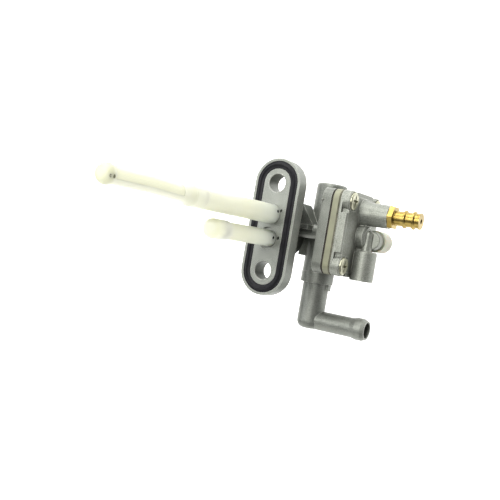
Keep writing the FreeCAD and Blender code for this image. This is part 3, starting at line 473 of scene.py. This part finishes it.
platedLook = {
    "colour": (0.50, 0.49, 0.37), "shade": (0.32, 0.32, 0.24), "edgeColour": (0.76, 0.74, 0.59),
    "edgeLight": 0.7, "edgeRadius": 0.15, "grain": 0.2, "cloud": 1.6, "grainHeight": 0.008,
    "roughLow": 0.26, "roughHigh": 0.4, "metallic": 1.0,
}
brassLook = dict(platedLook, colour=(0.37, 0.275, 0.085), shade=(0.27, 0.19, 0.05),
                 edgeColour=(0.72, 0.62, 0.30), cloud=3.0, roughLow=0.26, roughHigh=0.36,
                 toolLines=0.22, grainHeight=0.001)
steelLook = dict(platedLook, colour=(0.58, 0.58, 0.57), shade=(0.48, 0.48, 0.48),
                 edgeColour=(0.75, 0.75, 0.74), cloud=5.0, roughLow=0.28, roughHigh=0.42)
plateLook = dict(steelLook, colour=(0.40, 0.40, 0.37), shade=(0.32, 0.32, 0.305), roughLow=0.36,
                 roughHigh=0.5)
platedScrew = brightMetal("platedScrew", platedLook)
turnedBrass = brightMetal("turnedBrass", brassLook)
plainSteel = brightMetal("plainSteel", steelLook)
platedSheet = brightMetal("platedSheet", plateLook)
print("materials made")

finishes = {
    "valve_body": castBody, "outlet_elbow": castBody, "vacuum_cover": castCover,
    "flange_seal": sealRubber, "plunger_seal": sealRubber, "selector_port_seal": sealRubber,
    "rotor_ring": sealRubber, "main_standpipe": nylon, "reserve_standpipe": nylon,
    "main_strainer_cage": nylon, "reserve_strainer_cap": nylon, "main_strainer_mesh": gauze,
    "inner_diaphragm": diaphragmRubber, "outer_diaphragm": clothEdge,
    "diaphragm_spacer": spacerPlastic, "cover_screws": platedScrew, "retainer_screws": platedScrew,
    "lever_screw": platedScrew, "vacuum_nipple": turnedBrass, "blanking_cap": creamCap,
    "valve_plunger": plainSteel, "diaphragm_spool": plainSteel,
    "diaphragm_support_disc": plainSteel, "return_spring": plainSteel,
    "selector_spring_washer": plainSteel, "selector_retainer": platedSheet,
    "selector_rotor": leverPlastic, "selector_lever": leverPlastic,
}
for nodeName, material in finishes.items():
    node = cadNodes[nodeName]
    node.data.materials.clear()
    node.data.materials.append(material)
print("solids finished:", len(finishes))


# rubber ring of the flange: a slot-shaped band with one rounded ridge that stands proud

sealRing = {
    "width": 2.8, "shoulder": 0.15, "edge": 0.12, "ridge": 0.42, "ridgeAt": 0.55,
    "ridgeFoot": 0.35, "crownDrop": 0.12, "crownWidth": 0.55, "arcSteps": 28, "straightSteps": 10,
}


def slotLoop(radius, halfPitch, height, arcSteps, straightSteps):
    loop = []
    for side in (1, -1):
        start = 0 if side > 0 else pi
        for k in range(arcSteps + 1):
            angle = start + pi * k / arcSteps
            across = side * halfPitch + radius * sin(angle)
            loop.append(Vector((radius * cos(angle), across, height)))
        for k in range(1, straightSteps):
            across = side * halfPitch * (1 - 2 * k / straightSteps)
            loop.append(Vector((-side * radius, across, height)))
    return loop


def makeSealRing(size):
    low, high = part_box("flange_seal")
    outer = high.x / mm
    halfPitch = high.y / mm - outer
    inner = outer - size["width"]
    bottom, top = low.z / mm, high.z / mm
    face, edge, ridge = size["shoulder"], size["edge"], size["ridge"]
    ridgeAt = inner + (outer - inner) * size["ridgeAt"]
    slope = face + size["ridgeFoot"] * (top - face)
    crown, crownAt = top - size["crownDrop"], size["crownWidth"] * ridge
    profile = [(inner, bottom), (inner, face - edge), (inner + edge, face),
               (ridgeAt - 2 * ridge, face), (ridgeAt - ridge, slope), (ridgeAt - crownAt, crown),
               (ridgeAt, top), (ridgeAt + crownAt, crown), (ridgeAt + ridge, slope),
               (ridgeAt + 2 * ridge, face), (outer - edge, face), (outer, face - edge),
               (outer, bottom)]
    loops = [slotLoop(radius, halfPitch, height, size["arcSteps"], size["straightSteps"])
             for radius, height in profile]
    ring = loopSurface("sealRing", loops, closedAcross=True)
    finishPiece(ring, sealRubber, replaced="flange_seal")


makeSealRing(sealRing)
print("seal ring made")


# machined rims of the two bolt holes

rimSize = {
    "holeRadius": 3.5, "width": 0.22, "proud": 0.04, "land": 0.12, "slope": 0.04, "depth": 0.45,
    "overlap": 0.02, "footHeight": 0.15, "root": 0.1,
}


def makeHoleRims(size):
    low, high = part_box("flange_seal")
    halfPitch = (high.y - high.x) / mm
    radius, proud, depth = size["holeRadius"], size["proud"], size["depth"]
    overlap = size["overlap"]
    crown = radius + size["width"]
    land = crown + size["land"]
    profile = [(radius - overlap, -depth), (radius + overlap, size["footHeight"] - depth),
               (crown, proud), (land, proud), (land + size["slope"], -overlap),
               (radius + size["root"], -depth)]
    for side, word in ((1, "upper"), (-1, "lower")):
        rim = turnedSkin(word + "HoleRim", profile, (0, side * halfPitch, 0), (0, 0, 1))
        finishPiece(rim, castBody)


makeHoleRims(rimSize)
print("hole rims made")


# strainer: one moulded frame with two long windows, a short domed end and a gauze sleeve

strainer = {
    "axis": (-0.5, 4.9), "start": 50.72, "shoulder": (3.75, 57.4), "shoulderStep": (0.2, 0.3),
    "seam": (56.9, 0.14, 0.05), "neck": (2.8, 59.9), "windowStart": 63.0, "windowEnd": 97.0,
    "windowAngles": (-20, 90), "frameRadius": 2.8, "capRadius": 3.25, "capTop": 100.6,
    "capEdge": 0.12, "capFoot": 0.3, "domeRadius": 2.2, "domeAngles": (25, 45, 65, 80, 90),
    "wall": 0.85, "edge": 0.12, "bow": 0.62, "bowFrom": 58.0, "bowTo": 80.0,
    "gauzeRadius": 2.62, "gauzeStart": 62.2, "gauzeEnd": 97.4, "cloth": 0.15,
    "turns": 72, "windowSteps": 12, "gauzeSteps": 16,
}


pole = 0.02  # radius of the smallest loop, where a rounded skin closes on its axis


def bowed(size, height):
    # how far the strainer leans towards +Y at this height
    share = min(max((height - size["bowFrom"]) / (size["bowTo"] - size["bowFrom"]), 0), 1)
    return size["bow"] * share * share * (3 - 2 * share)


def strainerPoint(size, radius, height, angle):
    x, y = size["axis"]
    across = y + bowed(size, height) + radius * sin(angle)
    return Vector((x + radius * cos(angle), across, height))


def strainerLoop(size, radius, height):
    turns = size["turns"]
    return [strainerPoint(size, radius, height, 2 * pi * k / turns) for k in range(turns)]


def frameRows(size):
    # (radius, height) from the end in the pipe up to the top of the domed cap
    rim, shoulderTop = size["shoulder"]
    stepIn, stepUp = size["shoulderStep"]
    seam, dip, half = size["seam"]
    cap, dome = size["capRadius"], size["domeRadius"]
    start, end = size["windowStart"], size["windowEnd"]
    steps = size["windowSteps"]
    domeFoot = size["capTop"] - dome
    rows = [(rim, size["start"]), (rim, seam - dip), (rim - dip, seam - half),
            (rim - dip, seam + half), (rim, seam + dip), (rim, shoulderTop),
            (rim - stepIn, shoulderTop + stepUp), size["neck"]]
    rows += [(size["frameRadius"], start + (end - start) * k / steps) for k in range(steps + 1)]
    rows += [(cap - size["capEdge"], end + size["capEdge"]), (cap, end + size["capFoot"]),
             (cap, domeFoot)]
    for a in size["domeAngles"]:
        rows.append((cap - dome * (1 - cos(radians(a))), domeFoot + dome * sin(radians(a))))
    return rows + [(pole, size["capTop"])]


def makeFrame(size):
    rows = frameRows(size)
    turns = size["turns"]
    first, last = size["windowAngles"]
    start, end = size["windowStart"], size["windowEnd"]
    corners = [point for radius, height in rows for point in strainerLoop(size, radius, height)]
    faces = []
    for row in range(len(rows) - 1):
        middle = (rows[row][1] + rows[row + 1][1]) / 2
        isWindow = start < middle < end
        here, there = row * turns, (row + 1) * turns
        for k in range(turns):
            n = (k + 1) % turns
            turned = (360 * (k + 0.5) / turns - first) % 180  # the other window lies across
            if not (isWindow and turned < last - first):
                faces.append((here + k, here + n, there + n, there + k))
    frameMesh = faceOutward(meshPiece("strainerFrame", corners, faces))
    thicken(frameMesh, size["wall"]).use_even_offset = True
    roundEdges(frameMesh, size["edge"], segments=2, angle=50)
    finishPiece(frameMesh, nylon, replaced="main_strainer_cage")


def makeSleeve(size):
    start, end, steps = size["gauzeStart"], size["gauzeEnd"], size["gauzeSteps"]
    heights = [start + (end - start) * k / steps for k in range(steps + 1)]
    loops = [strainerLoop(size, size["gauzeRadius"], height) for height in heights]
    sleeve = loopSurface("gauzeSleeve", loops)
    thicken(sleeve, size["cloth"])
    finishPiece(sleeve, gauze, replaced="main_strainer_mesh")


makeFrame(strainer)
makeSleeve(strainer)
print("strainer made")


# punched marks: two pairs that stake the standpipes, and two vents in the strainer's cap, each a
# raised lip round a dark floor that is a painted shadow

# painted shadow: the dark colours of the mark floors stand for the shade inside the punched
# hollows
markShadowLook = dict(sealRubberLook, colour=(0.018, 0.018, 0.016), shade=(0.01, 0.01, 0.009),
                edgeColour=(0.04, 0.04, 0.035), roughLow=0.7, roughHigh=0.9)
markShadow = mouldedFinish("markShadow", markShadowLook)
ventShadowLook = dict(markShadowLook, colour=(0.16, 0.155, 0.10), shade=(0.09, 0.09, 0.06))
ventShadow = mouldedFinish("ventShadow", ventShadowLook)
marks = [
    # name, centre, outward, along, length, width, lip material, floor material (painted shadow),
    # slot
    ("flangeStake1", (3.65, 6.6, 0.0), (0, 0, 1), (0.45, 1, 0), 1.35, 0.92,
     castBody, markShadow, "cast_body"),
    ("flangeStake2", (4.3, -3.9, 0.0), (0, 0, 1), (0.35, 1, 0), 1.35, 0.92,
     castBody, markShadow, "cast_body"),
    ("pipeStake1", (3.05, 6.12, 1.5), (0.945, 0.325, 0), (-0.2, 0.5, -0.8), 1.5, 1.1,
     nylon, markShadow, "nylon"),
    ("pipeStake2", (2.63, -4.06, 0.95), (0.994, 0.11, 0), (0, 0.4, -0.8), 1.5, 1.1,
     nylon, markShadow, "nylon"),
]
markShape = {
    # share of the half size and lift, from the lip's foot to the middle of the floor
    "rings": [(1.28, -0.03), (1.2, 0.05), (1.02, 0.07), (0.92, 0.03), (0.5, 0.015),
              (0.02, 0.012)],
    "lipRows": 2, "steps": 28, "ventTurn": 0.3,
}
vents = [
    # name, angle, height, inset from the cap's side, upward lean, length, width
    ("strainerVent1", -9, 98.35, 0.0, 0.0, 1.15, 0.95),
    ("strainerVent2", -10, 99.5, 0.35, 0.55, 1.0, 0.6),
]


def makeMark(name, centre, outward, along, length, width, lipFinish, paintedShadowFinish, slotName):
    # an oval dish with a raised lip, laid on the surface that carries it; the floor stays above
    # the surface and its dark colour is a painted shadow
    rings, lipRows, steps = markShape["rings"], markShape["lipRows"], markShape["steps"]
    normal = Vector(outward).normalized()
    lengthwise = (Vector(along) - normal * Vector(along).dot(normal)).normalized()
    wide = normal.cross(lengthwise)
    corners = []
    for share, lift in rings:
        middle = Vector(centre) + normal * lift
        for k in range(steps):
            turn = 2 * pi * k / steps
            corners.append(middle + lengthwise * (length / 2 * share * cos(turn)) +
                           wide * (width / 2 * share * sin(turn)))
    faces = []
    for row in range(len(rings) - 1):
        here, there = row * steps, (row + 1) * steps
        for k in range(steps):
            n = (k + 1) % steps
            faces.append((here + k, here + n, there + n, there + k))
    mark = finishPiece(meshPiece(name, corners, faces), lipFinish)
    mark.data.materials.append(paintedShadowFinish)
    for face in mark.data.polygons:
        face.material_index = 0 if face.index < lipRows * steps else 1


def ventMarks(size):
    # on the side of the cap that faces the camera
    placed = []
    for name, angle, height, inset, lean, length, width in vents:
        a = radians(angle)
        centre = strainerPoint(size, size["capRadius"] - inset, height, a)
        along = (-sin(a), cos(a), markShape["ventTurn"])
        placed.append((name, centre, (cos(a), sin(a), lean), along, length, width,
                       nylon, ventShadow, "nylon"))
    return placed


marks += ventMarks(strainer)
for mark in marks:
    makeMark(*mark)
print("punched marks made:", len(marks))


# small things of the castings: rings about the screw seats, walls, ejector rings and a nib

seatRing = {
    "headRadius": 3.5, "inner": 3.62, "outer": 4.12, "foot": 23.55, "top": 24.35,
    "innerEdge": (0.12, 0.15), "outerEdge": (0.15, 0.2),
}


def makeSeatRings(size):
    low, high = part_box("cover_screws")
    head, foot = size["headRadius"], size["foot"]
    inner, outer, height = size["inner"], size["outer"], size["top"] - size["foot"]
    inWidth, inDrop = size["innerEdge"]
    outWidth, outDrop = size["outerEdge"]
    profile = [(inner, 0), (inner, height - inDrop), (inner + inWidth, height),
               (outer - outWidth, height), (outer, height - outDrop), (outer, 0)]
    places = [(y, z) for y in (low.y / mm + head, high.y / mm - head)
              for z in (low.z / mm + head, high.z / mm - head)]
    for k, (y, z) in enumerate(places, start=1):
        ring = turnedSkin("seatRing%d" % k, profile, (foot, y, z), (1, 0, 0))
        finishPiece(ring, castCover)


ejectorRings = {
    "radius": 1.7, "width": 0.16, "lift": 0.06, "sink": 0.05,
    "places": [(6.2, 12.0, -6.0), (6.2, -12.5, -6.0), (-6.2, 12.0, -6.0), (-6.2, -12.5, -6.0)],
}


def makeEjectorRings(size):
    radius, width = size["radius"], size["width"]
    profile = [(radius, -size["sink"]), (radius + width / 2, size["lift"]),
               (radius + width, -size["sink"])]
    for k, place in enumerate(size["places"], start=1):
        ring = turnedSkin("ejectorRing%d" % k, profile, place, (0, 0, -1), steps=40)
        finishPiece(ring, castBody)


plateNib = {
    "place": (13.1, 14.1, -14.95), "axis": (-0.2, 0.1, 1), "radius": 0.55,
    "angles": (-30, 0, 25, 50, 70, 88),
}


def makePlateNib(size):
    # a small dome on the edge of the plate that faces the flange
    radius = size["radius"]
    dome = [(radius * cos(radians(a)), radius * sin(radians(a))) for a in size["angles"]]
    profile = [(dome[0][0] * pole, dome[0][1])] + dome
    nib = turnedSkin("plateNib", profile, size["place"], size["axis"], steps=24)
    finishPiece(nib, castCover)


coverWalls = {
    "ear": 4.55, "depth": 1.9, "foot": 0.82, "thickness": 3.44, "inset": 0.02, "edge": 0.2,
}


def makeCoverWalls(size):
    # flat walls between the four screw bosses of the cover, flush with the spacer
    low, high = (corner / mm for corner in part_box("diaphragm_spacer"))
    middle, half = (low + high) / 2, (high - low) / 2
    foot = high.x + size["foot"]
    reach = half.y - size["ear"] * 2
    for word, across, sign in (("Front", "z", 1), ("Back", "z", -1),
                               ("Upper", "y", 1), ("Lower", "y", -1)):
        outer = (half.z if across == "z" else half.y) - size["inset"]
        corners = []
        for x in (foot, foot + size["thickness"]):
            for run, step in ((-reach, 0), (reach, 0), (reach, 1), (-reach, 1)):
                out = sign * (outer - size["depth"] * step)
                y, z = (run, out) if across == "z" else (out, run)
                corners.append(Vector((x, middle.y + y, middle.z + z)))
        wall = roundEdges(boxPiece("coverWall" + word, corners), size["edge"])
        finishPiece(wall, castCover)


makeSeatRings(seatRing)
makeCoverWalls(coverWalls)
makeEjectorRings(ejectorRings)
makePlateNib(plateNib)
print("casting details made")


# selector lever: the CAD outline with moulded edges and three thumb ribs

leverShape = {
    "hubRadius": 5.6, "tipRadius": 3.4, "edge": 0.6, "ribs": 3, "ribFrom": 1.0, "ribGap": 2.6,
    "ribLift": 0.45, "ribRoot": 0.5, "ribHalf": 0.5, "ribShort": 0.9, "ribGrow": 0.2,
    "ribEdge": 0.35,
}


def leverOutline(hub, tip, hubRadius, tipRadius, steps=20):
    # outer tangent outline of two circles in the Y-Z plane
    reach = (tip - hub).length
    lean = atan2(hubRadius - tipRadius, reach)
    points = []
    for centre, radius, start, sweep in ((hub, hubRadius, -lean, pi + 2 * lean),
                                         (tip, tipRadius, pi + lean, pi - 2 * lean)):
        for k in range(steps + 1):
            angle = start + sweep * k / steps
            points.append(centre + Vector((0, cos(angle), sin(angle))) * radius)
    return points


def makeLever(shape):
    low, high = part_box("selector_lever")
    hub = Vector((0, (low.y + high.y) / 2 / mm, high.z / mm - shape["hubRadius"]))
    tip = Vector((0, hub.y, low.z / mm + shape["tipRadius"]))
    outline = leverOutline(hub, tip, shape["hubRadius"], shape["tipRadius"])
    count = len(outline)
    back, front = high.x / mm, low.x / mm
    corners = [point + Vector((x, 0, 0)) for x in (back, front) for point in outline]
    faces = [tuple(range(count)), tuple(range(2 * count - 1, count - 1, -1))]
    faces += [(i, (i + 1) % count, count + (i + 1) % count, count + i) for i in range(count)]
    lever = faceOutward(meshPiece("leverGrip", corners, faces))
    roundEdges(lever, shape["edge"], segments=4)
    finishPiece(lever, leverPlastic, "selector", "selector_lever")
    half = shape["ribHalf"]
    for i in range(shape["ribs"]):
        z = tip.z + shape["ribFrom"] + i * shape["ribGap"]
        reach = shape["tipRadius"] - shape["ribShort"] + shape["ribGrow"] * i
        block = [Vector((x, hub.y + y, z + dz))
                 for x in (front + shape["ribRoot"], front - shape["ribLift"])
                 for y, dz in ((-reach, -half), (reach, -half), (reach, half), (-reach, half))]
        rib = roundEdges(boxPiece("leverRib%d" % (i + 1), block), shape["ribEdge"])
        finishPiece(rib, leverPlastic, "selector")


makeLever(leverShape)
print("lever made")


# studio: pale floor, soft lights and the camera of the photograph

studio = {
    "floorDrop": 70, "floorReach": 4000, "floorColour": (0.93, 0.93, 0.93), "floorRough": 0.9,
    "floorGlow": 0.62,  # brings the floor to the plain white behind the photographed part
    "worldColour": (0.97, 0.98, 1.0), "worldStrength": 0.2,
}
lights = [
    # name, place, target, width, height, power in watts, colour
    ("topSoftbox", (-150, 1080, 500), (0, 0, 0), 1050, 750, 15.0, (1.0, 1.0, 0.98)),
    ("keySoftbox", (-30, 330, 1250), (5, 0, -10), 680, 750, 17.0, (1.0, 1.0, 0.97)),
    ("leftFill", (-850, 120, 950), (0, 0, 0), 650, 750, 7.0, (0.98, 0.99, 1.0)),
    ("lowFill", (-450, -1050, 350), (0, 0, 20), 900, 900, 4.5, (1.0, 1.0, 0.96)),
    ("rearStrip", (350, 800, -420), (8, 10, -20), 400, 500, 5.0, (1.0, 1.0, 0.98)),
    ("nylonFill", (750, -700, 1000), (0, 6, 60), 900, 900, 13.0, (1.0, 1.0, 0.97)),
]


def aimedPlace(place, target):
    back = (Vector(place) - Vector(target)).normalized()
    right = Vector((0, 0, 1)).cross(back)
    right = right.normalized() if right.length > 1e-6 else Vector((1, 0, 0))
    up = back.cross(right)
    turn = Matrix((right, up, back)).transposed().to_4x4()
    return Matrix.Translation(Vector(place) * mm) @ turn


def wearsNylon(piece):
    worn = {slot.name for slot in piece.material_slots}
    return piece.type == "MESH" and bool(worn & {nylon.name, gauze.name})


def makeLamp(name, place, target, width, height, power, colour):
    data = bpy.data.lights.new(name, "AREA")
    data.shape = "RECTANGLE"
    data.size, data.size_y = width * mm, height * mm
    data.energy = power
    data.color = colour
    lamp = bpy.data.objects.new(name, data)
    bpy.context.scene.collection.objects.link(lamp)
    lamp.matrix_world = aimedPlace(place, target)
    lamp.visible_camera = False
    if name == "nylonFill":
        # stands for the light that the thin nylon walls pass on, so it lights nothing else
        group = bpy.data.collections.new("nylonPieces")
        for piece in filter(wearsNylon, bpy.data.objects):
            group.objects.link(piece)
        lamp.light_linking.receiver_collection = group


for light in lights:
    makeLamp(*light)
print("lights set:", len(lights))


def makeFloor(look):
    reach = look["floorReach"]
    z = cadBox[0].z / mm - look["floorDrop"]
    corners = [(-reach, -reach, z), (reach, -reach, z), (reach, reach, z), (-reach, reach, z)]
    floor = meshPiece("floor", corners, [(0, 1, 2, 3)], smooth=False)
    material, shader = startMaterial("paleFloor")
    shader.inputs["Base Color"].default_value = (*look["floorColour"], 1)
    shader.inputs["Roughness"].default_value = look["floorRough"]
    shader.inputs["Emission Color"].default_value = (1, 1, 1, 1)
    shader.inputs["Emission Strength"].default_value = look["floorGlow"]
    floor.data.materials.append(material)


makeFloor(studio)
world = bpy.data.worlds.new("studioWorld")
world.use_nodes = True
background = world.node_tree.nodes["Background"]
background.inputs["Color"].default_value = (*studio["worldColour"], 1)
background.inputs["Strength"].default_value = studio["worldStrength"]
bpy.context.scene.world = world
bpy.context.scene.view_settings.view_transform = "Standard"

# the camera that was fitted to the photograph
viewpoint = {
    "place": (144.804, -5.195, 267.192), "lens": 56.857, "sensor": 36.0, "clipStart": 10,
    "right": (0.8559, 0.1663, -0.4896), "up": (-0.1526, 0.9859, 0.0681),
    "back": (0.4940, 0.0164, 0.8693),
}
cameraData = bpy.data.cameras.new("photoCamera")
cameraData.lens = viewpoint["lens"]
cameraData.sensor_width = viewpoint["sensor"]
cameraData.clip_start = viewpoint["clipStart"] * mm
camera = bpy.data.objects.new("photoCamera", cameraData)
bpy.context.scene.collection.objects.link(camera)
turn = Matrix([viewpoint[key] for key in ("right", "up", "back")]).transposed().to_4x4()
camera.matrix_world = Matrix.Translation(Vector(viewpoint["place"]) * mm) @ turn
bpy.context.scene.camera = camera
print("studio ready")
